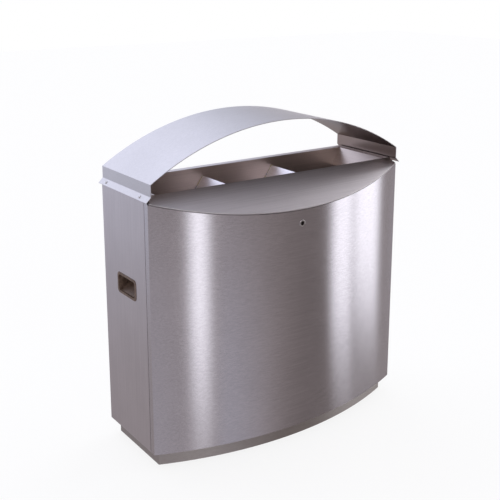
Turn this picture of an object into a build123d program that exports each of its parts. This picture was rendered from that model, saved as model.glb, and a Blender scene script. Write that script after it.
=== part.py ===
"""Free-standing three-compartment litter bin in folded stainless sheet, millimetres.

+Z is up and the bowed front faces -Y.  The origin is on the floor, under the middle of the whole bin.
"""

from build123d import *
from math import atan, cos, radians, sqrt, tan
import os

os.makedirs("parts", exist_ok=True)

# ---------------------------------------------------------------- driving dimensions
width = 1000.0  # over the side panels
side_depth = 302.0  # front corner to back panel
front_bulge = 102.0  # how far the front bows out past its corners
body_bottom = 54.0
shoulder = 876.0  # front corners of the deck
rim = 894.0  # level ledge around the throats
deck_slope = 0.676  # rise per unit depth of the inclined deck
deck_depth = 24.0  # deck behind the front corners

gauge = 1.5  # body sheet
stout = 2.0  # canopy, jambs, base
bend = 3.0  # outside radius of every fold

rim_fold = 15.0  # 45 degree fold between wall and ledge
side_ledge = 38.0  # wall to inner edge of the side ledges
back_ledge = 40.0

canopy_half = 493.0
canopy_eaves = 896.0
canopy_shoulder = 934.0
canopy_crown = 1080.0
canopy_overhang = 8.0
drip_drop = 15.6  # the drip flange runs out and down by this much

plinth_inset_side = 26.0
plinth_inset_front = 29.0
plinth_inset_back = 16.0
pad_height = 3.0
foot_flange = 32.0
foot_gauge = 3.0
anchor_radius = 5.5

throat_bottom = 780.0
divider_x = 145.0
divider_ridge = 865.0
divider_angle = 55.0
end_slope = 59.0
end_throat = 425.0

liner_size = 278.0
liner_pitch = 290.0
liner_top = 765.0
liner_bead = 3.0
hand_hole = (100.0, 32.0)
hand_hole_drop = 45.0

door_return = 22.0
door_gap = 2.0
door_bottom = 55.0
door_return_top = 878.0
door_lip = (12.0, 62.0, 850.0)  # width and the levels it runs between
deck_lip = 18.0  # depth of the deck's folded-down edges

hinge_heights = (170.0, 470.0, 770.0)
hinge_length = 80.0
knuckles = 5
knuckle_radius = 3.5
pin_radius = 1.75
running = 0.05  # radial running clearance
leaf_width = 21.0

lock_height = 759.0
lock_proud = 1.5
lock_rose = 11.0
lock_barrel = 9.4
lock_plug = 7.0

cup_height = 575.0
cup_size = (124.0, 70.0)
cup_depth = 42.0
cup_wall = 2.5

# ---------------------------------------------------------------- levels worked out from them
half = width / 2
total_depth = lock_proud + front_bulge + side_depth + canopy_overhang
front = -total_depth / 2 + lock_proud  # middle of the bowed front
corner = front + front_bulge  # front corners of the body
rear = corner + side_depth
front_radius = (half**2 + front_bulge**2) / (2 * front_bulge)
bow_centre = front + front_radius
deck_back = corner + deck_depth
jamb_face = deck_back + gauge
throat_back = rear - back_ledge
panel_front = corner + door_return + door_gap
wall_top = rim - rim_fold
deck_upright = stout / cos(atan(deck_slope))  # the deck sheet measured straight down


def bow(x, inset=0.0):
    """Depth of the bowed front at x, for a shell set in by inset."""
    radius = front_radius - inset
    return bow_centre - sqrt(radius**2 - x**2)


def deck_height(y):
    """Height of the deck's top face at depth y."""
    return shoulder + deck_slope * (y - corner)


def bowed_face(half_width, inset, back):
    """A D: straight back and sides, and a front concentric with the bow."""
    ends = bow(half_width, inset)
    with BuildLine() as outline:
        ThreePointArc((-half_width, ends), (0, front + inset), (half_width, ends))
        Polyline((half_width, ends), (half_width, back), (-half_width, back), (-half_width, ends))
    make_face(outline.edges())


def bowed_strip(half_width, inset, thickness):
    """A thin band that follows the bow, thickness measured inwards."""
    outer, inner = bow(half_width, inset), bow(half_width, inset + thickness)
    with BuildLine() as outline:
        ThreePointArc((-half_width, outer), (0, front + inset), (half_width, outer))
        ThreePointArc((-half_width, inner), (0, front + inset + thickness), (half_width, inner))
        Line((-half_width, outer), (-half_width, inner))
        Line((half_width, outer), (half_width, inner))
    make_face(outline.edges())


def folded(points, thickness, side=Side.LEFT, radius=bend):
    """The section of a bent sheet, from the line of its outer face."""
    with BuildLine() as section:
        FilletPolyline(*points, radius=radius)
        offset(amount=thickness, side=side)
    make_face(section.edges())


def finish(piece, name):
    """Labels a finished piece and writes it."""
    piece.part.label = name
    export_step(piece.part, f"parts/{name}.step")


# ---------------------------------------------------------------- plinth and its pads
plinth_half = half - plinth_inset_side
plinth_back = rear - plinth_inset_back
foot_start = bow(plinth_half, plinth_inset_front + foot_flange)  # the front's foot flange ends here
wall_start = bow(plinth_half, plinth_inset_front + stout)
anchor_x = plinth_half - foot_flange / 2
anchor_rows = (foot_start + 30.0, plinth_back - 62.0)
pad_rows = (foot_start + 62.0, plinth_back - 26.0)
front_pads = 150.0
pad_size = (26.0, 36.0)
pad_corner = 4.0
front_pad_y = bow(front_pads, plinth_inset_front + foot_flange / 2)

with BuildPart() as plinth_front:
    with BuildSketch(Plane.XY.offset(pad_height)):
        bowed_strip(plinth_half, plinth_inset_front, foot_flange)
    extrude(amount=foot_gauge)
    with BuildSketch(Plane.XY.offset(pad_height)):
        bowed_strip(plinth_half, plinth_inset_front, stout)
    extrude(amount=body_bottom + gauge - pad_height)
finish(plinth_front, "plinth_front")

for side_name, sign in (("left", -1), ("right", 1)):
    with BuildPart() as plinth_side:
        with BuildSketch(Plane.XY.offset(pad_height)):
            with Locations((sign * anchor_x, (foot_start + plinth_back - stout) / 2)):
                Rectangle(foot_flange, plinth_back - stout - foot_start)
            with Locations(*[(sign * anchor_x, y) for y in anchor_rows]):
                Circle(anchor_radius, mode=Mode.SUBTRACT)
        extrude(amount=foot_gauge)
        with BuildSketch(Plane.XY.offset(pad_height + foot_gauge)):
            with Locations((sign * (plinth_half - stout / 2), (wall_start + plinth_back - stout) / 2)):
                Rectangle(stout, plinth_back - stout - wall_start)
        extrude(amount=body_bottom - pad_height - foot_gauge)
    finish(plinth_side, f"plinth_{side_name}")

with BuildPart() as plinth_rear:
    with BuildSketch(Plane.XY.offset(pad_height)):
        with Locations((0, plinth_back - stout / 2)):
            Rectangle(2 * plinth_half, stout)
    extrude(amount=body_bottom - pad_height)
finish(plinth_rear, "plinth_back")

with BuildPart() as floor_pads:
    with BuildSketch():
        with Locations(*[(sign * anchor_x, y) for sign in (-1, 1) for y in pad_rows]):
            RectangleRounded(*pad_size, pad_corner)
        with Locations(*[(sign * front_pads, front_pad_y) for sign in (-1, 1)]):
            RectangleRounded(pad_size[1], 20, pad_corner)
    extrude(amount=pad_height)
finish(floor_pads, "floor_pads")

# ---------------------------------------------------------------- base plate and liner rails
base_top = body_bottom + gauge + stout
base_gap = 2.0
base_setback = 4.0  # keeps the door's skin clear of the plate

with BuildPart() as base_plate:
    with BuildSketch(Plane.XY.offset(body_bottom + gauge)):
        bowed_face(half - gauge - base_gap, base_setback, rear - gauge - 0.5)
    extrude(amount=stout)
finish(base_plate, "base_plate")

liner_front = throat_back + 9.0 - liner_size  # the back chute plate ends over the liner's mouth
liner_middle_y = liner_front + liner_size / 2
liner_centres = [-liner_pitch, 0.0, liner_pitch]
rail_size = (4.0, liner_size - 40.0, 14.0)

with BuildPart() as liner_rails:
    with BuildSketch(Plane.XY.offset(base_top)):
        with Locations(*[((i - 1.5) * liner_pitch, liner_middle_y + 10.0) for i in range(4)]):
            Rectangle(rail_size[0], rail_size[1])
    extrude(amount=rail_size[2])
    top_edges = liner_rails.edges().filter_by(Axis.Y).group_by(Axis.Z)[-1]
    fillet(top_edges, 1.5)
finish(liner_rails, "liner_rails")

# ---------------------------------------------------------------- side and back panels
cup_y = (corner + rear) / 2
hinge_y = corner + door_return + door_gap / 2
hinge_x = half + knuckle_radius + 0.2
rivet_radius = 2.0
rivet_rows = [z + dz for z in hinge_heights for dz in (-28.0, 0.0, 28.0)]
fixed_rivet_y = hinge_y + 14.0
moving_rivet_y = hinge_y - 13.0
seal_line = (half + wall_top + canopy_half + canopy_eaves) / 2 - stout / sqrt(2)
screw_y = (corner + 46.0, rear - 32.0)
screw_radius = 2.5
screw_clearance = 0.25
flange_mid = (canopy_half + drip_drop / 2, canopy_eaves - drip_drop / 2)


def wall_section(wall, inward):
    """Foot flange, wall, 45 degree fold and ledge; wall is the outer face, inward points to the middle."""
    return [
        (wall + inward * 40.0, body_bottom),
        (wall, body_bottom),
        (wall, wall_top),
        (wall + inward * rim_fold, rim),
    ]


def screw_planes(sign):
    """Planes square to one drip flange, centred on its two screws, normals pointing outwards."""
    return [
        Plane(origin=(sign * flange_mid[0], y, flange_mid[1]), x_dir=(0, 1, 0), z_dir=(sign, 0, 1))
        for y in screw_y
    ]


for side_name, sign in (("left", -1), ("right", 1)):
    with BuildPart() as side_panel:
        with BuildSketch(Plane.XZ.offset(-panel_front)):
            folded(
                wall_section(sign * half, -sign) + [(sign * (half - side_ledge), rim)],
                gauge,
                Side.LEFT if sign > 0 else Side.RIGHT,
                2.0,
            )
        extrude(amount=-(rear - panel_front))
        # The mitre runs in from the rear corner at 45 degrees; the side keeps what is in front of it.
        split(bisect_by=Plane(origin=(sign * half, rear, 0), z_dir=(-sign, 1, 0)), keep=Keep.BOTTOM)
        with BuildSketch(Plane.YZ.offset(sign * (half + 1))):
            with Locations((cup_y, cup_height)):
                RectangleRounded(cup_size[0] - 8, cup_size[1] - 8, 9)
        extrude(amount=-sign * 5, mode=Mode.SUBTRACT)
        for plane in screw_planes(sign):
            with Locations(plane):
                Hole(screw_radius + screw_clearance, depth=16)
        if sign > 0:
            for z in rivet_rows:
                with Locations(Plane(origin=(half, fixed_rivet_y, z), z_dir=(1, 0, 0))):
                    Hole(rivet_radius + running, depth=4)
    finish(side_panel, f"{side_name}_side_panel")

with BuildPart() as back_panel:
    with BuildSketch(Plane.YZ.offset(-half)):
        folded(wall_section(rear, -1) + [(throat_back, rim)], gauge, Side.LEFT, 2.0)
    extrude(amount=width)
    for sign in (-1, 1):
        split(bisect_by=Plane(origin=(sign * half, rear, 0), z_dir=(-sign, 1, 0)), keep=Keep.TOP)
finish(back_panel, "back_panel")

# ---------------------------------------------------------------- jambs at the front corners
jamb_top = 860.0
jamb_gap = 0.2
jamb_width = 52.0
jamb_wing = 30.0  # the wing riveted to the hinges runs back this far
jamb_leg = 22.0

for side_name, sign in (("left", -1), ("right", 1)):
    with BuildPart() as jamb:
        with BuildSketch(Plane.XY.offset(base_top)):
            folded(
                [
                    (sign * (half - gauge - jamb_gap), jamb_face + jamb_wing),
                    (sign * (half - gauge - jamb_gap), jamb_face),
                    (sign * (half - jamb_width), jamb_face),
                    (sign * (half - jamb_width), jamb_face + jamb_leg),
                ],
                stout,
                Side.RIGHT if sign > 0 else Side.LEFT,
            )
        extrude(amount=jamb_top - base_top)
        if sign > 0:
            for z in rivet_rows:
                with Locations(Plane(origin=(half, fixed_rivet_y, z), z_dir=(1, 0, 0))):
                    Hole(rivet_radius + running, depth=8)
    finish(jamb, f"{side_name}_jamb")

bumper_heights = (130.0, 460.0, 760.0)
bumper_x = half - 14.0
bumper_radius = 5.0
bumper_gap = 0.3

with BuildPart() as door_bumpers:
    for sign in (-1, 1):
        with BuildSketch(Plane.XZ.offset(-jamb_face)):
            with Locations(*[(sign * bumper_x, z) for z in bumper_heights]):
                Circle(bumper_radius)
        extrude(amount=jamb_face - corner - door_return - bumper_gap)
finish(door_bumpers, "door_bumpers")

# ---------------------------------------------------------------- inclined deck
deck_end = 492.0  # the deck's strip behind the corners stops short of the drip flanges
deck_tip = half - 3.0  # the tips stay clear of the door's returns as it swings
plate_drop = 4.0  # the front chute plate starts this far under the deck's face
over, under = 940.0, 700.0  # levels above and below everything that is cut on the slope

top_of_deck = Plane(origin=(0, corner, shoulder), z_dir=(0, -deck_slope, 1))
below_sheet = Plane(origin=(0, corner, shoulder - deck_upright), z_dir=(0, -deck_slope, 1))
foot_of_lip = Plane(origin=(0, corner, shoulder - deck_lip), z_dir=(0, -deck_slope, 1))
lip_inset = gauge + 4.0  # the lip hangs behind the door skin

with BuildPart() as deck_pocket:
    with BuildSketch(Plane.XY.offset(under)):
        bowed_face(deck_end + 1.0, lip_inset + gauge, deck_back - gauge)
    extrude(amount=over - under)
    split(bisect_by=below_sheet, keep=Keep.BOTTOM)

with BuildPart() as lip_trim:
    with BuildSketch(Plane.XY.offset(under)):
        bowed_strip(half + 5.0, -5.0, lip_inset + 5.0)
    extrude(amount=over - under)
    split(bisect_by=below_sheet, keep=Keep.BOTTOM)

with BuildPart() as front_deck:
    with BuildSketch(Plane.XY.offset(under)):
        bowed_face(deck_tip, 0.0, corner + 1.0)
        bowed_face(deck_end, 0.0, deck_back)
    extrude(amount=over - under)
    split(bisect_by=top_of_deck, keep=Keep.BOTTOM)
    split(bisect_by=foot_of_lip, keep=Keep.TOP)
    add(deck_pocket.part, mode=Mode.SUBTRACT)
    add(lip_trim.part, mode=Mode.SUBTRACT)
finish(front_deck, "front_deck")

# ---------------------------------------------------------------- throats: chutes and dividers
inner_half = half - side_ledge
plate_half = half - 20.0
throat_length = throat_back - jamb_face
chute_top = deck_height(deck_back) - plate_drop
end_flange = 12.0

with BuildPart() as chute_front:
    with BuildSketch(Plane.XZ.offset(-deck_back)):
        with Locations((0, (throat_bottom + chute_top) / 2)):
            Rectangle(2 * plate_half, chute_top - throat_bottom)
    extrude(amount=-gauge)
finish(chute_front, "chute_front_plate")

with BuildPart() as chute_back:
    with BuildSketch(Plane.XZ.offset(-throat_back)):
        with Locations((0, (throat_bottom + rim - gauge) / 2)):
            Rectangle(2 * plate_half, rim - gauge - throat_bottom)
    extrude(amount=-gauge)
finish(chute_back, "chute_back_plate")

chute_knee = rim - gauge - (inner_half - end_throat) * tan(radians(end_slope))

for side_name, sign in (("left", -1), ("right", 1)):
    with BuildPart() as end_chute:
        with BuildSketch(Plane.XZ.offset(-jamb_face)):
            folded(
                [
                    (sign * (inner_half + end_flange), rim - gauge),
                    (sign * inner_half, rim - gauge),
                    (sign * end_throat, chute_knee),
                    (sign * end_throat, throat_bottom),
                ],
                gauge,
                Side.LEFT if sign > 0 else Side.RIGHT,
                2.0,
            )
        extrude(amount=-throat_length)
    finish(end_chute, f"{side_name}_end_chute")

divider_foot = (divider_ridge - throat_bottom) / tan(radians(divider_angle))

for side_name, sign in (("left", -1), ("right", 1)):
    with BuildPart() as divider:
        with BuildSketch(Plane.XZ.offset(-jamb_face)):
            folded(
                [
                    (sign * divider_x - divider_foot, throat_bottom),
                    (sign * divider_x, divider_ridge),
                    (sign * divider_x + divider_foot, throat_bottom),
                ],
                gauge,
                Side.RIGHT,
                2.0,
            )
        extrude(amount=-throat_length)
    finish(divider, f"{side_name}_divider")

# ---------------------------------------------------------------- canopy, its seals and fixings
canopy_front = corner - canopy_overhang
canopy_back = rear + canopy_overhang
canopy_rise = canopy_crown - canopy_shoulder
canopy_radius = (canopy_half**2 + canopy_rise**2) / (2 * canopy_rise)

with BuildPart() as canopy:
    with BuildSketch(Plane.XZ.offset(-canopy_front)):
        with BuildLine() as canopy_section:
            ThreePointArc((-canopy_half, canopy_shoulder), (0, canopy_crown), (canopy_half, canopy_shoulder))
            for sign in (-1, 1):
                Polyline(
                    (sign * canopy_half, canopy_shoulder),
                    (sign * canopy_half, canopy_eaves),
                    (sign * (canopy_half + drip_drop), canopy_eaves - drip_drop),
                )
            offset(amount=stout, side=Side.RIGHT)
        make_face(canopy_section.edges())
    extrude(amount=canopy_front - canopy_back)
    for sign in (-1, 1):
        for plane in screw_planes(sign):
            with Locations(plane):
                Hole(screw_radius + screw_clearance, depth=16)
finish(canopy, "canopy")

seal_thickness = (canopy_half + canopy_eaves - half - wall_top) / sqrt(2) - stout
seal_width = 14.0

with BuildPart() as canopy_seals:
    for sign in (-1, 1):
        centre = (sign * flange_mid[0], rear, flange_mid[1])
        seal_plane = Plane(origin=centre, x_dir=(0, 1, 0), z_dir=(sign, 0, 1)).offset(-stout)
        with BuildSketch(seal_plane):
            with Locations(((panel_front - rear) / 2, 0)):
                Rectangle(rear - panel_front - 2 * rim_fold, seal_width)
            with Locations(*[(y - rear, 0) for y in screw_y]):
                Circle(screw_radius + 2 * screw_clearance, mode=Mode.SUBTRACT)
        extrude(amount=-seal_thickness)
finish(canopy_seals, "canopy_seals")

screw_head = 4.75
head_height = 2.6
nut_height = 4.0
nut_depth = stout + seal_thickness + gauge

with BuildPart() as canopy_screws:
    for sign in (-1, 1):
        for plane in screw_planes(sign):
            with BuildSketch(plane):
                Circle(screw_head)
            extrude(amount=head_height)
            with BuildSketch(plane):
                Circle(screw_radius)
            extrude(amount=-(nut_depth + nut_height + gauge))
            with BuildSketch(plane.offset(head_height)):
                RegularPolygon(1.5, 6, major_radius=False)
            extrude(amount=-1.6, mode=Mode.SUBTRACT)
    circles = canopy_screws.edges().filter_by(GeomType.CIRCLE)
    heads = circles.filter_by(lambda e: abs(e.radius - screw_head) < 0.01)
    crowns = [e for e in heads if abs(e.arc_center.X) + e.arc_center.Z > sum(flange_mid) + 2.0]
    fillet(crowns, 1.6)
finish(canopy_screws, "canopy_screws")

with BuildPart() as canopy_nuts:
    for sign in (-1, 1):
        for plane in screw_planes(sign):
            with BuildSketch(plane.offset(-nut_depth)):
                RegularPolygon(4.0, 6, major_radius=False)
                Circle(screw_radius + 0.02, mode=Mode.SUBTRACT)
            extrude(amount=-nut_height)
finish(canopy_nuts, "canopy_nuts")

# ---------------------------------------------------------------- moulded handle cups
cup_opening = (cup_size[0] - 16.0, cup_size[1] - 16.0)
cup_body = (cup_size[0] - 8.4, cup_size[1] - 8.4)
cup_bezel = 1.5
cup_lip = 4.0  # level strip of the floor behind the face
cup_mouth = 3.0  # how far the cutting shapes reach out past the face


def scoop(sign, height, depth):
    """Cross-section of the scoop: level roof, upright back, and a floor that slopes up to it."""
    with BuildLine() as section:
        FilletPolyline(
            (sign * (half + cup_mouth), cup_height - height / 2),
            (sign * (half + cup_mouth), cup_height + height / 2),
            (sign * (half - depth), cup_height + height / 2),
            (sign * (half - depth), cup_height),
            (sign * (half - cup_lip), cup_height - height / 2),
            radius=bend,
            close=True,
        )
    make_face(section.edges())


for side_name, sign in (("left", -1), ("right", 1)):
    face = Plane(origin=(sign * half, cup_y, cup_height), x_dir=(0, 1, 0), z_dir=(sign, 0, 0))

    with BuildPart() as cup_cavity:
        with BuildSketch(face.offset(cup_mouth)):
            RectangleRounded(*cup_opening, 12)
        extrude(amount=-cup_depth)
        with BuildSketch(Plane.XZ.offset(-cup_y)):
            scoop(sign, cup_opening[1], cup_depth - cup_wall)
        extrude(amount=cup_size[0], both=True, mode=Mode.INTERSECT)

    with BuildPart() as handle_cup:
        with BuildSketch(face):
            RectangleRounded(*cup_body, 8.8)
        extrude(amount=-cup_depth)
        with BuildSketch(Plane.XZ.offset(-cup_y)):
            scoop(sign, cup_body[1], cup_depth)
        extrude(amount=cup_size[0], both=True, mode=Mode.INTERSECT)
        with BuildSketch(face):
            RectangleRounded(*cup_size, 14)
        extrude(amount=cup_bezel)
        bezel_rim = handle_cup.faces().sort_by(Axis.X)[-1 if sign > 0 else 0].outer_wire().edges()
        fillet(bezel_rim, 1.2)
        add(cup_cavity.part, mode=Mode.SUBTRACT)
    finish(handle_cup, f"{side_name}_handle_cup")

# ---------------------------------------------------------------- liners
liner_names = ("left", "middle", "right")
liner_gauge = 1.5
liner_corner = 18.0
beaded = liner_size + 2 * liner_bead

for side_name, x in zip(liner_names, liner_centres):
    with BuildPart() as liner:
        with BuildSketch(Plane.XY.offset(base_top)):
            with Locations((x, liner_middle_y)):
                RectangleRounded(liner_size, liner_size, liner_corner)
        extrude(amount=liner_top - base_top)
        mouth = liner.faces().sort_by(Axis.Z)[-1]
        offset(amount=-liner_gauge, openings=mouth)
        with BuildSketch(Plane.XY.offset(liner_top - 2 * liner_bead)):
            with Locations((x, liner_middle_y)):
                RectangleRounded(beaded, beaded, liner_corner + liner_bead)
                RectangleRounded(liner_size, liner_size, liner_corner, mode=Mode.SUBTRACT)
        extrude(amount=2 * liner_bead)
        with BuildSketch(Plane.XZ.offset(-liner_middle_y)):
            with Locations((x, liner_top - hand_hole_drop)):
                SlotOverall(*hand_hole)
        extrude(amount=liner_size, both=True, mode=Mode.SUBTRACT)
    finish(liner, f"liner_{side_name}")

# ---------------------------------------------------------------- door and its ribs
door_top = Plane(origin=(0, corner, shoulder - deck_upright - 2.0), z_dir=(0, -deck_slope, 1))
return_middle = corner + door_return / 2
lip_width, lip_start, lip_end = door_lip
lip_x = half - lip_width / 2

with BuildPart() as door_skin:
    with BuildSketch(Plane.XY.offset(door_bottom)):
        bowed_strip(half, 0.0, gauge)
        with Locations(*[(sign * (half - gauge / 2), return_middle) for sign in (-1, 1)]):
            Rectangle(gauge, door_return)
    extrude(amount=over - door_bottom)
    split(bisect_by=door_top, keep=Keep.BOTTOM)
    split(bisect_by=Plane.XY.offset(door_return_top), keep=Keep.BOTTOM)
    with BuildSketch(Plane.XY.offset(lip_start)):
        with Locations(*[(sign * lip_x, corner + door_return - gauge / 2) for sign in (-1, 1)]):
            Rectangle(lip_width, gauge)
    extrude(amount=lip_end - lip_start)
    with Locations(Plane(origin=(0, front, lock_height), z_dir=(0, -1, 0))):
        Hole(lock_barrel + 0.1, depth=8)
    for z in rivet_rows:
        with Locations(Plane(origin=(half, moving_rivet_y, z), z_dir=(1, 0, 0))):
            Hole(rivet_radius + running, depth=4)
finish(door_skin, "door_skin")

rib_levels = {"lower": 96.0, "middle": 400.0, "upper": 700.0}
rib_half = 440.0
rib_depth = 10.0
rib_flange = 25.0
rib_inset = gauge + 0.05

for level_name, level in rib_levels.items():
    with BuildPart() as door_rib:
        with BuildSketch(Plane.XY.offset(level)):
            bowed_strip(rib_half, rib_inset, rib_depth)
        extrude(amount=gauge)
        with BuildSketch(Plane.XY.offset(level)):
            bowed_strip(rib_half, rib_inset, gauge)
        extrude(amount=rib_flange)
    finish(door_rib, f"door_rib_{level_name}")

# ---------------------------------------------------------------- three butt hinges
knuckle_pitch = hinge_length / knuckles
knuckle_gap = 0.4
leaf_gauge = 2.0
leaf_start = knuckle_radius + 0.7

for leaf_name, sign, first in (("fixed", 1, 0), ("moving", -1, 1)):
    rivet_y = fixed_rivet_y if sign > 0 else moving_rivet_y
    with BuildPart() as leaves:
        for z in hinge_heights:
            base = z - hinge_length / 2
            with BuildSketch(Plane.XY.offset(base)):
                with Locations((half + leaf_gauge / 2, hinge_y + sign * (leaf_start + leaf_width) / 2)):
                    Rectangle(leaf_gauge, leaf_width - leaf_start)
            extrude(amount=hinge_length)
            for k in range(first, knuckles, 2):
                with BuildSketch(Plane.XY.offset(base + k * knuckle_pitch + knuckle_gap / 2)):
                    with Locations((hinge_x, hinge_y)):
                        Circle(knuckle_radius)
                    with Locations((half + leaf_gauge / 2, hinge_y + sign * leaf_start / 2)):
                        Rectangle(leaf_gauge, leaf_start)
                    with Locations((hinge_x, hinge_y)):
                        Circle(pin_radius + running, mode=Mode.SUBTRACT)
                extrude(amount=knuckle_pitch - knuckle_gap)
        for z in rivet_rows:
            with Locations(Plane(origin=(half + leaf_gauge, rivet_y, z), z_dir=(1, 0, 0))):
                Hole(rivet_radius + running, depth=leaf_gauge)
    finish(leaves, f"hinge_leaves_{leaf_name}")

with BuildPart() as hinge_pins:
    for z in hinge_heights:
        with BuildSketch(Plane.XY.offset(z - hinge_length / 2)):
            with Locations((hinge_x, hinge_y)):
                Circle(pin_radius)
        extrude(amount=hinge_length)
        with BuildSketch(Plane.XY.offset(z + hinge_length / 2 - knuckle_gap / 2)):
            with Locations((hinge_x, hinge_y)):
                Circle(knuckle_radius - 0.5)
        extrude(amount=1.6)
finish(hinge_pins, "hinge_pins")

rivet_head = 3.6
rivet_tail = 3.0

for leaf_name, rivet_y, grip in (
    ("fixed", fixed_rivet_y, leaf_gauge + gauge + jamb_gap + stout),
    ("moving", moving_rivet_y, leaf_gauge + gauge),
):
    with BuildPart() as rivets:
        for z in rivet_rows:
            seat = Plane(origin=(half + leaf_gauge, rivet_y, z), z_dir=(1, 0, 0))
            with BuildSketch(seat):
                Circle(rivet_radius)
            extrude(amount=-grip)
            with BuildSketch(seat):
                Circle(rivet_head)
            extrude(amount=1.3)
            with BuildSketch(seat.offset(-grip)):
                Circle(rivet_tail)
            extrude(amount=-1.0)
        domes = rivets.edges().filter_by(GeomType.CIRCLE).group_by(Axis.X)[-1]
        fillet(domes, 1.1)
    finish(rivets, f"hinge_rivets_{leaf_name}")

# ---------------------------------------------------------------- cam lock and its catch
cam_front = front + 20.5
cam_gauge = 2.5
cam_reach = 38.0
tang = 7.0
plug_face = front - 0.9
keyway = (9.0, 2.2)
catch_start = 17.0  # above the lock's axis, and as deep behind the door
catch_width = 32.0


def lock_plane(y):
    """A plane across the lock's axis at depth y, its normal pointing out of the door."""
    return Plane(origin=(0, y, lock_height), x_dir=(1, 0, 0), z_dir=(0, -1, 0))


with BuildPart() as lock_body:
    with BuildSketch(lock_plane(front)):
        Circle(lock_rose)
    extrude(amount=lock_proud)
    fillet(lock_body.edges().filter_by(GeomType.CIRCLE).sort_by(Axis.Y)[0], 1.0)
    with BuildSketch(lock_plane(front)):
        Circle(lock_barrel)
    extrude(amount=-(cam_front - front - 0.5))
    with BuildSketch(lock_plane(front - lock_proud)):
        Circle(lock_plug + running)
    extrude(amount=-(cam_front - front + lock_proud), mode=Mode.SUBTRACT)
finish(lock_body, "lock_body")

with BuildPart() as lock_nut:
    with BuildSketch(lock_plane(front + gauge + 0.1)):
        RegularPolygon(12.0, 6, major_radius=False)
        Circle(lock_barrel + 0.05, mode=Mode.SUBTRACT)
    extrude(amount=-4.0)
finish(lock_nut, "lock_nut")

with BuildPart() as plug:
    with BuildSketch(lock_plane(plug_face)):
        Circle(lock_plug)
    extrude(amount=-(cam_front - plug_face))
    with BuildSketch(lock_plane(cam_front)):
        Rectangle(tang, tang)
    extrude(amount=-cam_gauge)
    with BuildSketch(lock_plane(plug_face)):
        SlotOverall(*keyway, rotation=90)
    extrude(amount=-7.0, mode=Mode.SUBTRACT)
finish(plug, "lock_plug")

with BuildPart() as lock_cam:
    with BuildSketch(lock_plane(cam_front)):
        Circle(9.0)
        with Locations((-cam_reach / 2 + 3.0, 0)):
            SlotOverall(cam_reach + 6.0, 14.0)
        Rectangle(tang + 0.1, tang + 0.1, mode=Mode.SUBTRACT)
    extrude(amount=-cam_gauge)
finish(lock_cam, "lock_cam")

with BuildPart() as cam_screw:
    with BuildSketch(lock_plane(cam_front + cam_gauge)):
        RegularPolygon(5.0, 6, major_radius=False)
    extrude(amount=-3.0)
finish(cam_screw, "lock_cam_screw")

with BuildPart() as lock_catch:
    with BuildSketch(lock_plane(front + catch_start)):
        with Locations((0, catch_start + (over - lock_height) / 2)):
            Rectangle(catch_width, over - lock_height)
    extrude(amount=-stout)
    split(bisect_by=below_sheet, keep=Keep.BOTTOM)
finish(lock_catch, "lock_catch")
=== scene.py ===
"""Looks of the free-standing three-compartment litter bin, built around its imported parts, in metres.

The bowed front faces -Y, +Z is up, and the origin is on the floor under the middle of the bin.
"""

from math import cos, pi, radians, sin

import bpy
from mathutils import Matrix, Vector


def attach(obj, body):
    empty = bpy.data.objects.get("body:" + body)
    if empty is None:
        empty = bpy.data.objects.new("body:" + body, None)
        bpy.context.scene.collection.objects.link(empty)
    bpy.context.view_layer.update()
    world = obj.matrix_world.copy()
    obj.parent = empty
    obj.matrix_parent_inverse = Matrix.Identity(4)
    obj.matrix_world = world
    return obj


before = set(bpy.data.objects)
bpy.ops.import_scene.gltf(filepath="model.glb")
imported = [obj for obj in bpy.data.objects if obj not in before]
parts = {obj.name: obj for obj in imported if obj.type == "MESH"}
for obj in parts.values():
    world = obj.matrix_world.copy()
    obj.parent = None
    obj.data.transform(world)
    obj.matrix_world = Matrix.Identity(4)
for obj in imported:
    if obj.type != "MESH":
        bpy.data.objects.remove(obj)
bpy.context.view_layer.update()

# ---------------------------------------------------------------- camera
# A short telephoto on a tripod, a little above the bin and round to its left.
# The lens is slid down a little, so that the uprights stay nearly parallel.
eye = (-1.7058, -2.3543, 1.5566)
turn = 34.95
tilt = 13.80
focal_length = 64.36
film_width = 36.0
slide = -0.13

lens = bpy.data.cameras.new("lens")
lens.lens = focal_length
lens.sensor_width = film_width
lens.shift_y = slide
camera = bpy.data.objects.new("camera", lens)
camera.location = eye
camera.rotation_euler = (radians(90.0 - tilt), 0.0, radians(-turn))
bpy.context.scene.collection.objects.link(camera)
bpy.context.scene.camera = camera
bpy.context.scene.view_settings.view_transform = "Standard"

# ---------------------------------------------------------------- studio
# White cyclorama behind the bin, a bright wall to its back left and a dark room in front.
# Three upright strip lights draw the long reflections on the bowed door; a window stands to the right
# and a soft key to the left front, which lights the throats.


class Wire:
    """One output of a shader node; arithmetic on it adds Math nodes to the same tree."""

    def __init__(self, finish, socket):
        self.finish = finish
        self.socket = socket

    def math(self, operation, *values):
        return self.finish.node("Math", {"operation": operation}, dict(enumerate(values)))

    def __add__(self, other):
        return self.math("ADD", self, other)

    def __sub__(self, other):
        return self.math("SUBTRACT", self, other)

    def __rsub__(self, other):
        return self.math("SUBTRACT", other, self)

    def __mul__(self, other):
        return self.math("MULTIPLY", self, other)

    def __abs__(self):
        return self.math("ABSOLUTE", self)

    __radd__ = __add__
    __rmul__ = __mul__


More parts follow.
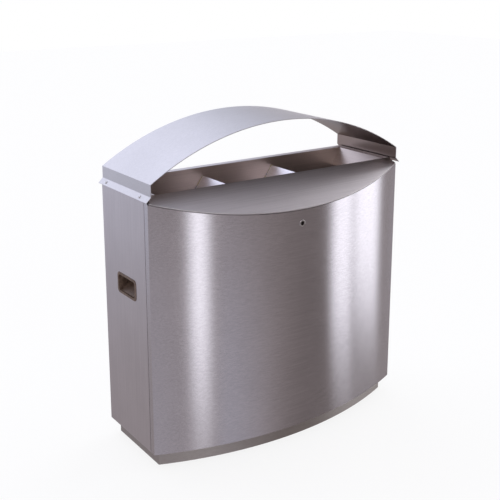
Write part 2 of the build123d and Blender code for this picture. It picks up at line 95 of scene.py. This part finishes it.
class Finish:
    """The shader tree of a material or of the studio itself."""

    def __init__(self, owner):
        owner.use_nodes = True
        self.tree = owner.node_tree
        self.tree.nodes.clear()

    def node(self, kind, settings, inputs, output=0):
        """Adds a node: its settings first, then the values or links of its sockets; gives one output."""
        made = self.tree.nodes.new("ShaderNode" + kind)
        for setting, value in settings.items():
            if setting == "stops":
                ramp = made.color_ramp
                for position, colour in value[1:-1]:
                    ramp.elements.new(position).color = colour
                ramp.elements[0].position, ramp.elements[0].color = value[0]
                ramp.elements[-1].position, ramp.elements[-1].color = value[-1]
            else:
                setattr(made, setting, value)
        for name, value in inputs.items():
            if isinstance(value, Wire):
                self.tree.links.new(value.socket, made.inputs[name])
            else:
                made.inputs[name].default_value = value
        return Wire(self, made.outputs[output]) if made.outputs else None

    def step(self, value, low, high, start=0.0, end=1.0):
        """Eases from start to end as value goes from low to high."""
        bounds = {"Value": value, "From Min": low, "From Max": high, "To Min": start, "To Max": end}
        return self.node("MapRange", {"interpolation_type": "SMOOTHSTEP"}, bounds)

    def mix(self, factor, first, second):
        """Blends two colours."""
        return self.node("Mix", {"data_type": "RGBA"}, {0: factor, 6: first, 7: second}, 2)


# Directions from the bin, in degrees: azimuth 0 is straight in front, 90 to the right, and 0 up is level.
world = bpy.data.worlds.new("studio")
bpy.context.scene.world = world
sky = Finish(world)
direction = sky.node("SeparateXYZ", {}, {0: sky.node("TexCoord", {}, {}, "Generated")})
toward_x, toward_y, toward_z = (Wire(sky, socket) for socket in direction.socket.node.outputs)
degrees = 180.0 / pi
azimuth = toward_x.math("ARCTAN2", toward_x, 0.0 - toward_y) * degrees
elevation = toward_z.math("ARCSINE", toward_z) * degrees

# The bright wall's middle is a little left of straight behind; it fades out to both sides.
wall_offset = 12.0
wall_edges = (25.0, 62.0)
wall_low = 0.14
wall_high = 1.06
from_wall = abs(toward_x.math("ARCTAN2", toward_x, toward_y) * degrees + wall_offset)
wall = sky.step(from_wall, *wall_edges, 1.0, 0.0)

# The room is darkest near the floor; its left side is the lighter one.
shadow_low = 0.225
shadow_high = 0.26
left_glow = 0.47
left_room = sky.step(azimuth, -54.0, 40.0, 1.0, 0.0) * sky.step(azimuth, -110.0, -70.0)
right_room = sky.step(azimuth, 74.0, 98.0)
right_glow = right_room * sky.step(elevation, -29.0, -15.0, 0.14, 0.46)

# Some light from the left strip spills on the floor beside it.
spill_side = sky.step(azimuth, 2.0, 9.0) * sky.step(azimuth, 12.0, 44.0, 1.0, 0.0)
spill = spill_side * sky.step(elevation, -22.0, -13.0, 0.25, 0.08)

low = shadow_low + left_glow * left_room + spill + right_glow + wall_low * wall
high = shadow_high + wall_high * wall
raised = sky.step(elevation, -30.0, 8.0)
room = low + raised * (high - low)

# A white ceiling closes the room.
ceiling_white = 1.25
overhead = sky.step(elevation, 57.0, 68.0)
ceiling = room + overhead * (ceiling_white - room)


def strip_light(brightness, centre, half_width, lowest, highest):
    """An upright light panel seen from the bin: soft sides, and ends that fade out."""
    soft_side = 2.5
    soft_end = 3.0
    off_centre = abs(azimuth - centre)
    across = sky.step(off_centre, half_width - soft_side, half_width + soft_side, 1.0, 0.0)
    above = sky.step(elevation, lowest - soft_end, lowest + soft_end)
    below = sky.step(elevation, highest - soft_end, highest + soft_end, 1.0, 0.0)
    return brightness * (across * above * below)


left_strip = strip_light(1.75, centre=-1.0, half_width=3.2, lowest=-27.0, highest=40.0)
middle_strip = strip_light(1.9, centre=57.5, half_width=5.2, lowest=-23.5, highest=35.0)
right_strip = strip_light(1.9, centre=71.5, half_width=7.4, lowest=-21.5, highest=35.0)
window = strip_light(2.8, centre=112.0, half_width=20.0, lowest=18.0, highest=46.0)
key = strip_light(2.8, centre=-34.0, half_width=13.0, lowest=12.0, highest=46.0)
lights = left_strip + middle_strip + right_strip + window + key

# Shadows in the room are warm, the wall is a cool lavender and the lamps are white.
warm = (1.12, 0.98, 0.95, 1.0)
cool = (0.96, 0.985, 1.12, 1.0)
lamp_white = (0.985, 0.99, 1.03, 1.0)
white = (1.0, 1.0, 1.0, 1.0)
room_tint = sky.mix(sky.step(ceiling, 0.22, 0.75), warm, cool)
tint = sky.mix(sky.step(lights, 0.0, 0.6), room_tint, lamp_white)
lit = sky.node("Background", {}, {"Color": tint, "Strength": ceiling + lights})
backdrop = sky.node("Background", {}, {"Color": white, "Strength": 1.0})
seen = sky.node("LightPath", {}, {}, "Is Camera Ray")
shown = sky.node("MixShader", {}, {0: seen, 1: lit, 2: backdrop})
sky.node("OutputWorld", {}, {"Surface": shown})

# ---------------------------------------------------------------- floor
# Pale matt studio floor, lit from below so that only a faint shadow lies on it.
# Steel doesn't mirror it, and it blocks no light.
floor_reach = 14.0
floor_white = (0.97, 0.97, 0.97, 1.0)
floor_glow = 0.85

floor_mesh = bpy.data.meshes.new("floor")
corners = [(-floor_reach, -floor_reach, 0.0), (floor_reach, -floor_reach, 0.0)]
corners += [(floor_reach, floor_reach, 0.0), (-floor_reach, floor_reach, 0.0)]
floor_mesh.from_pydata(corners, [], [(0, 1, 2, 3)])
floor = bpy.data.objects.new("floor", floor_mesh)
bpy.context.scene.collection.objects.link(floor)
floor.visible_glossy = False
floor.visible_shadow = False
floor_paint = bpy.data.materials.new("floor_paint")
paint = Finish(floor_paint)
matt = paint.node("BsdfDiffuse", {}, {"Color": floor_white})
glow = paint.node("Emission", {}, {"Color": white, "Strength": 1.0})
pale = paint.node("MixShader", {}, {0: floor_glow, 1: matt, 2: glow})
paint.node("OutputMaterial", {}, {"Surface": pale})
floor_mesh.materials.append(floor_paint)

# ---------------------------------------------------------------- canopy
# The hood over the throats: one 2 mm stainless sheet rolled to the arch, with a skirt and a sloping
# drip flange folded at each end.  Brushed along the arch; its inner face is painted a darker warm brown, as
# painted shade under the hood.


def dress(material, *names):
    """Gives the named parts one material."""
    for name in names:
        data = parts[name].data
        for index in range(len(data.materials)):
            data.materials[index] = material


def brushed_steel(name, colour, along, roughness, streak=0.0, turned=0.0, wear=0.05, painted_shade_inside=None):
    """Stainless sheet brushed along one axis.

    Light spreads across the grain: streak says how strongly, and turned how far round.
    The colour given for the inside is painted shade: it darkens the inner face of a hood that stands over
    the throats.
    """
    hairs_per_metre = 1500.0
    hairs_lengthwise = 7.0
    strands_per_metre = 320.0
    strands_lengthwise = 1.6
    clouds_per_metre = 5.0
    contrast = 0.10
    scratch_depth = 0.0003

    material = bpy.data.materials.new(name)
    finish = Finish(material)
    place = finish.node("TexCoord", {}, {}, "Object")
    fine = [hairs_lengthwise if axis == along else hairs_per_metre for axis in "XYZ"]
    coarse = [strands_lengthwise if axis == along else strands_per_metre for axis in "XYZ"]
    hairs = finish.node("VectorMath", {"operation": "MULTIPLY"}, {0: place, 1: fine})
    strands = finish.node("VectorMath", {"operation": "MULTIPLY"}, {0: place, 1: coarse})
    hair = finish.node("TexNoise", {}, {"Vector": hairs, "Scale": 1.0, "Detail": 2.0, "Roughness": 0.6})
    strand = finish.node("TexNoise", {}, {"Vector": strands, "Scale": 1.0, "Detail": 3.0, "Roughness": 0.6})
    drift = {"Vector": place, "Scale": clouds_per_metre, "Detail": 3.0, "Roughness": 0.55}
    cloud = finish.node("TexNoise", {}, drift)
    grain = 0.55 * hair + 0.45 * strand
    dark = tuple((1.0 - contrast) * c for c in colour) + (1.0,)
    light = tuple((1.0 + contrast) * c for c in colour) + (1.0,)
    tone = finish.mix(finish.step(0.8 * grain + 0.2 * cloud, 0.35, 0.65), dark, light)
    # Painted shade: faces turned in towards the hood's middle take the darker inside colour.
    if painted_shade_inside:
        hood_centre = (0.0, 0.0, 0.85)
        from_centre = finish.node("VectorMath", {"operation": "SUBTRACT"}, {0: place, 1: hood_centre})
        face = finish.node("TexCoord", {}, {}, "Normal")
        outward = finish.node("VectorMath", {"operation": "DOT_PRODUCT"}, {0: from_centre, 1: face}, 1)
        tone = finish.mix(finish.step(outward, -0.03, -0.005), painted_shade_inside + (1.0,), tone)
    scratched = finish.node("Bump", {}, {"Strength": 0.06, "Distance": scratch_depth, "Height": grain})
    surface = {
        "Base Color": tone,
        "Metallic": 1.0,
        "Roughness": roughness - wear + 0.5 * wear * cloud + 1.5 * wear * grain,
        "Anisotropic": streak,
        "Anisotropic Rotation": turned,
        "Normal": scratched,
    }
    finish.node("OutputMaterial", {}, {"Surface": finish.node("BsdfPrincipled", {}, surface)})
    return material


# Painted shade: this warm dark brown on the canopy's inner face stands in for the shade under the hood.
hood_painted_shade = (0.30, 0.235, 0.21)
canopy_steel = brushed_steel("canopy_steel", (0.555, 0.545, 0.575), "X", roughness=0.34, painted_shade_inside=hood_painted_shade)
dress(canopy_steel, "canopy")

# ---------------------------------------------------------------- canopy screws and nuts
# Turned stainless button heads with a hexagon socket, two through each drip flange,
# and the nuts that hold them underneath.


def machined_metal(name, colour, roughness):
    """Small turned or pressed metal parts, with faint tool marks."""
    marks_per_metre = 900.0
    smears_per_metre = 70.0
    mark_depth = 0.0002

    material = bpy.data.materials.new(name)
    finish = Finish(material)
    place = finish.node("TexCoord", {}, {}, "Object")
    marks = finish.node("TexNoise", {}, {"Vector": place, "Scale": marks_per_metre, "Detail": 3.0})
    smear = finish.node("TexNoise", {}, {"Vector": place, "Scale": smears_per_metre, "Detail": 3.0})
    dark = tuple(0.86 * c for c in colour) + (1.0,)
    light = tuple(1.12 * c for c in colour) + (1.0,)
    tooled = finish.node("Bump", {}, {"Strength": 0.12, "Distance": mark_depth, "Height": marks})
    surface = {
        "Base Color": finish.mix(0.5 * marks + 0.5 * smear, dark, light),
        "Metallic": 1.0,
        "Roughness": roughness - 0.05 + 0.1 * smear,
        "Normal": tooled,
    }
    finish.node("OutputMaterial", {}, {"Surface": finish.node("BsdfPrincipled", {}, surface)})
    return material


screw_steel = machined_metal("screw_steel", (0.62, 0.61, 0.63), roughness=0.24)
dress(screw_steel, "canopy_screws", "canopy_nuts")

# ---------------------------------------------------------------- side and back panels
# The walls of the body: folded 1.5 mm stainless sheet, brushed upright and welded at the corners.
# The fold at the top carries the canopy.
side_steel = brushed_steel("side_steel", (0.57, 0.54, 0.57), "Z", roughness=0.34, streak=0.4)
dress(side_steel, "left_side_panel", "right_side_panel", "back_panel")

# ---------------------------------------------------------------- front door
# Bowed 1.5 mm stainless skin with folded returns, brushed along the bow and finer than the rest.
# Its grain draws every lamp into a long upright streak.
door_steel = brushed_steel(
    "door_steel", (0.50, 0.475, 0.505), "X", roughness=0.18, streak=0.72, turned=0.25, wear=0.025
)
dress(door_steel, "door_skin")

# ---------------------------------------------------------------- deck
# Sloping lens-shaped plate above the door, its edges folded down, brushed from side to side.
# It sheds rain and ash towards the front.
deck_steel = brushed_steel("deck_steel", (0.55, 0.52, 0.535), "X", roughness=0.36)
dress(deck_steel, "front_deck")

# ---------------------------------------------------------------- throats
# Sloping plates that steer litter into the liners: a front and a back plate, two ridged dividers and an
# end chute at each side.  Stainless sheet; the plates' warm brown is painted shade, the dividers'
# near-white lavender is a painted highlight, and the end chutes are painted between the two.
# Painted shade: the warm brown of the front and back plates stands in for the shade inside the throats.
throat_steel = brushed_steel("throat_steel", (0.48, 0.39, 0.355), "X", roughness=0.50)
dress(throat_steel, "chute_front_plate", "chute_back_plate")
# Painted highlight: the dividers' near-white lavender stands in for the bright light their slopes reflect.
divider_steel_painted_highlight = brushed_steel("divider_steel_painted_highlight", (0.88, 0.86, 0.93), "Y", roughness=0.40)
dress(divider_steel_painted_highlight, "left_divider", "right_divider")
# Painted highlight and painted shade: the end chutes' colour is set between the bright dividers and the
# brown plates.
chute_steel_painted_light = brushed_steel("chute_steel_painted_light", (0.50, 0.44, 0.43), "Y", roughness=0.34)
dress(chute_steel_painted_light, "left_end_chute", "right_end_chute")

# ---------------------------------------------------------------- weld beads
# Rippled stainless weld along both sides of each divider's roof, where it meets the chute plates.
# Run by hand with the arc, so the bead rises and dips and stays straw and blue from the heat.
ridge_x = 0.145
half_span = 0.0595
foot_z = 0.783
ridge_z = 0.867
back_weld_y = 0.15825
front_weld_y = -0.07725
bead_radius = 0.0017
ripple_height = 0.0003
ripple_turn = 1.1
bead_steps = 72
end_thickness = 0.3
end_growth = 12.0


def tube(name, path, radii, square, sides=12, closed=False):
    """A round bar of changing thickness along a flat path; square points out of the path's plane."""
    points = [Vector(p) for p in path]
    square = Vector(square)
    count = len(points)
    rings = []
    for i, point in enumerate(points):
        before = points[i - 1] if closed or i > 0 else point
        after = points[(i + 1) % count] if closed or i < count - 1 else point
        across = (after - before).normalized().cross(square)
        turns = [2.0 * pi * k / sides for k in range(sides)]
        rings.append([point + radii[i] * (cos(t) * across + sin(t) * square) for t in turns])
    faces = []
    for i in range(count if closed else count - 1):
        here = i * sides
        there = (i + 1) % count * sides
        for k in range(sides):
            after = (k + 1) % sides
            faces.append((here + k, here + after, there + after, there + k))
    if not closed:
        faces.append(tuple(reversed(range(sides))))
        faces.append(tuple(range((count - 1) * sides, count * sides)))
    mesh = bpy.data.meshes.new(name)
    mesh.from_pydata([corner for ring in rings for corner in ring], [], faces)
    mesh.polygons.foreach_set("use_smooth", [True] * len(faces))
    bar = bpy.data.objects.new(name, mesh)
    bpy.context.scene.collection.objects.link(bar)
    return bar


straw = (0.46, 0.37, 0.24, 1.0)
blue = (0.24, 0.25, 0.34, 1.0)
bright = (0.56, 0.54, 0.53, 1.0)
weld_metal = bpy.data.materials.new("weld_metal")
weld = Finish(weld_metal)
place = weld.node("TexCoord", {}, {}, "Object")
heat = weld.node("TexNoise", {}, {"Vector": place, "Scale": 60.0, "Detail": 2.0})
heat_tint = weld.node("ValToRGB", {"stops": [(0.3, blue), (0.5, straw), (0.7, bright)]}, {"Fac": heat})
scale = weld.node("TexNoise", {}, {"Vector": place, "Scale": 1400.0, "Detail": 3.0})
grit = weld.node("Bump", {}, {"Strength": 0.2, "Distance": 0.0002, "Height": scale})
fused = {"Base Color": heat_tint, "Metallic": 1.0, "Roughness": 0.26 + 0.2 * scale, "Normal": grit}
weld.node("OutputMaterial", {}, {"Surface": weld.node("BsdfPrincipled", {}, fused)})

for side_name, middle in (("left", -ridge_x), ("right", ridge_x)):
    for end_name, y in (("back", back_weld_y), ("front", front_weld_y)):
        run = []
        thickness = []
        for step in range(2 * bead_steps + 1):
            along = step / bead_steps - 1.0
            run.append((middle + along * half_span, y, ridge_z - abs(along) * (ridge_z - foot_z)))
            taper = min(1.0, end_thickness + end_growth * (1.0 - abs(along)))
            thickness.append(taper * (bead_radius + ripple_height * abs(sin(step * ripple_turn))))
        bead = tube(f"{side_name}_{end_name}_weld_bead", run, thickness, (0.0, 1.0, 0.0))
        bead.data.materials.append(weld_metal)
        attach(bead, "bin_body")

# ---------------------------------------------------------------- plinth
# Set-back foot of the bin in four folded stainless pieces, bowed at the front like the door.
# Brushed along its length; its colour, darker than the body's, is painted shade for the foot set back under
# the body.
plinth_steel = brushed_steel(
    "plinth_steel", (0.36, 0.33, 0.32), "X", roughness=0.38, streak=0.5, turned=0.25
)
dress(plinth_steel, "plinth_front", "plinth_back", "plinth_left", "plinth_right")

# ---------------------------------------------------------------- base, jambs, ribs and rails
# Hidden structure in mill-finish sheet: the base plate, the jambs beside the door, the ribs behind its
# skin, the rails between the liners and the catch for the lock.
frame_steel = brushed_steel("frame_steel", (0.42, 0.42, 0.43), "Z", roughness=0.42, streak=0.2)
dress(frame_steel, "base_plate", "left_jamb", "right_jamb", "liner_rails", "lock_catch")
dress(frame_steel, "door_rib_lower", "door_rib_middle", "door_rib_upper")

# ---------------------------------------------------------------- hinges
# Three pressed steel butt hinges at the right front corner, riveted to the right jamb and
# to the door, each turning on its own pin.
hinge_steel = machined_metal("hinge_steel", (0.58, 0.57, 0.58), roughness=0.30)
dress(hinge_steel, "hinge_leaves_fixed", "hinge_leaves_moving", "hinge_pins")
dress(hinge_steel, "hinge_rivets_fixed", "hinge_rivets_moving")

# ---------------------------------------------------------------- cam lock
# Quarter-turn lock through the door: a satin nickel rose and nut, a blackened core,
# and a zinc-plated cam held behind the door by its screw.
rose_nickel = machined_metal("rose_nickel", (0.50, 0.48, 0.48), roughness=0.26)
dress(rose_nickel, "lock_body", "lock_nut")
core_nickel = machined_metal("core_nickel", (0.05, 0.045, 0.045), roughness=0.20)
dress(core_nickel, "lock_plug")
cam_zinc = machined_metal("cam_zinc", (0.56, 0.53, 0.44), roughness=0.36)
dress(cam_zinc, "lock_cam", "lock_cam_screw")

# ---------------------------------------------------------------- handle cups
# Finger cups for lifting the bin: dark brown moulded nylon with a pebbled grain,
# clipped into a cut-out in each side panel, dusty in the hollow.
nylon_dark = (0.080, 0.048, 0.033, 1.0)
nylon_dusty = (0.135, 0.090, 0.068, 1.0)
cup_nylon = bpy.data.materials.new("cup_nylon")
moulding = Finish(cup_nylon)
place = moulding.node("TexCoord", {}, {}, "Object")
pebbling = {"Vector": place, "Scale": 1100.0, "Smoothness": 0.6}
pebbles = moulding.node("TexVoronoi", {"feature": "SMOOTH_F1"}, pebbling)
dust = moulding.node("TexNoise", {}, {"Vector": place, "Scale": 60.0, "Detail": 4.0})
brown = moulding.mix(moulding.step(dust, 0.35, 0.7), nylon_dark, nylon_dusty)
grained = moulding.node("Bump", {}, {"Strength": 0.35, "Distance": 0.0004, "Height": pebbles})
nylon = {"Base Color": brown, "Roughness": 0.42 + 0.2 * dust, "Normal": grained}
moulding.node("OutputMaterial", {}, {"Surface": moulding.node("BsdfPrincipled", {}, nylon)})
dress(cup_nylon, "left_handle_cup", "right_handle_cup")

# ---------------------------------------------------------------- rubber
# Black rubber: extruded seals under the drip flanges, pressed-in bumpers that the door shuts on,
# and moulded pads under the plinth.  Matt, with a pale bloom.
rubber_black = (0.018, 0.018, 0.018, 1.0)
rubber_bloom = (0.050, 0.048, 0.046, 1.0)
black_rubber = bpy.data.materials.new("black_rubber")
extrusion = Finish(black_rubber)
place = extrusion.node("TexCoord", {}, {}, "Object")
bloom = extrusion.node("TexNoise", {}, {"Vector": place, "Scale": 220.0, "Detail": 4.0})
soot = extrusion.mix(bloom, rubber_black, rubber_bloom)
skin = extrusion.node("Bump", {}, {"Strength": 0.3, "Distance": 0.0003, "Height": bloom})
matt_black = {"Base Color": soot, "Roughness": 0.68 + 0.2 * bloom, "Normal": skin}
extrusion.node("OutputMaterial", {}, {"Surface": extrusion.node("BsdfPrincipled", {}, matt_black)})
dress(black_rubber, "canopy_seals", "door_bumpers", "floor_pads")

# ---------------------------------------------------------------- liners
# Three lift-out boxes of folded steel, hot-dip galvanised after folding.
# The zinc shows a spangle of crystals 10 to 20 mm across.
crystals_per_metre = 75.0
ragged_edge = (0.008, 0.008, 0.008)
zinc_dark = (0.36, 0.38, 0.40, 1.0)
zinc_light = (0.62, 0.64, 0.66, 1.0)
galvanised = bpy.data.materials.new("galvanised")
zinc = Finish(galvanised)
place = zinc.node("TexCoord", {}, {}, "Object")
ragged = zinc.node("TexNoise", {}, {"Vector": place, "Scale": 90.0, "Detail": 3.0}, "Color")
nudged = zinc.node("VectorMath", {"operation": "MULTIPLY_ADD"}, {0: ragged, 1: ragged_edge, 2: place})
crystal = zinc.node("TexVoronoi", {}, {"Vector": nudged, "Scale": crystals_per_metre}, "Color")
shade = zinc.node("SeparateColor", {}, {"Color": crystal})
frost = zinc.node("TexNoise", {}, {"Vector": place, "Scale": 400.0, "Detail": 4.0})
spangle = 0.7 * shade + 0.3 * frost
zinc_tone = zinc.mix(spangle, zinc_dark, zinc_light)
facets = zinc.node("Bump", {}, {"Strength": 0.25, "Distance": 0.0004, "Height": spangle})
coated = {"Base Color": zinc_tone, "Metallic": 0.9, "Roughness": 0.34 + 0.26 * shade, "Normal": facets}
zinc.node("OutputMaterial", {}, {"Surface": zinc.node("BsdfPrincipled", {}, coated)})
dress(galvanised, "liner_left", "liner_middle", "liner_right")

# ---------------------------------------------------------------- liner rims
# Each liner's lip is rolled over a wire, so its mouth ends in a smooth round bar
# that doesn't cut the hand.  Galvanised with the box.
rim_radius = 0.00375
rim_half = 0.13975
rim_corner = 0.01875
rim_z = 0.762
rim_y = 0.02875
liner_pitch = 0.290
corner_steps = 10
rim_sides = 16

for side_name, x in (("left", -liner_pitch), ("middle", 0.0), ("right", liner_pitch)):
    lip = []
    for quarter, (out_x, out_y) in enumerate(((1, 1), (-1, 1), (-1, -1), (1, -1))):
        centre_x = x + out_x * (rim_half - rim_corner)
        centre_y = rim_y + out_y * (rim_half - rim_corner)
        for step in range(corner_steps + 1):
            turned = pi / 2.0 * (quarter + step / corner_steps)
            lip.append((centre_x + rim_corner * cos(turned), centre_y + rim_corner * sin(turned), rim_z))
    thickness = [rim_radius] * len(lip)
    rim = tube(f"liner_{side_name}_rolled_rim", lip, thickness, (0.0, 0.0, 1.0), rim_sides, closed=True)
    rim.data.materials.append(galvanised)
    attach(rim, "bin_body")
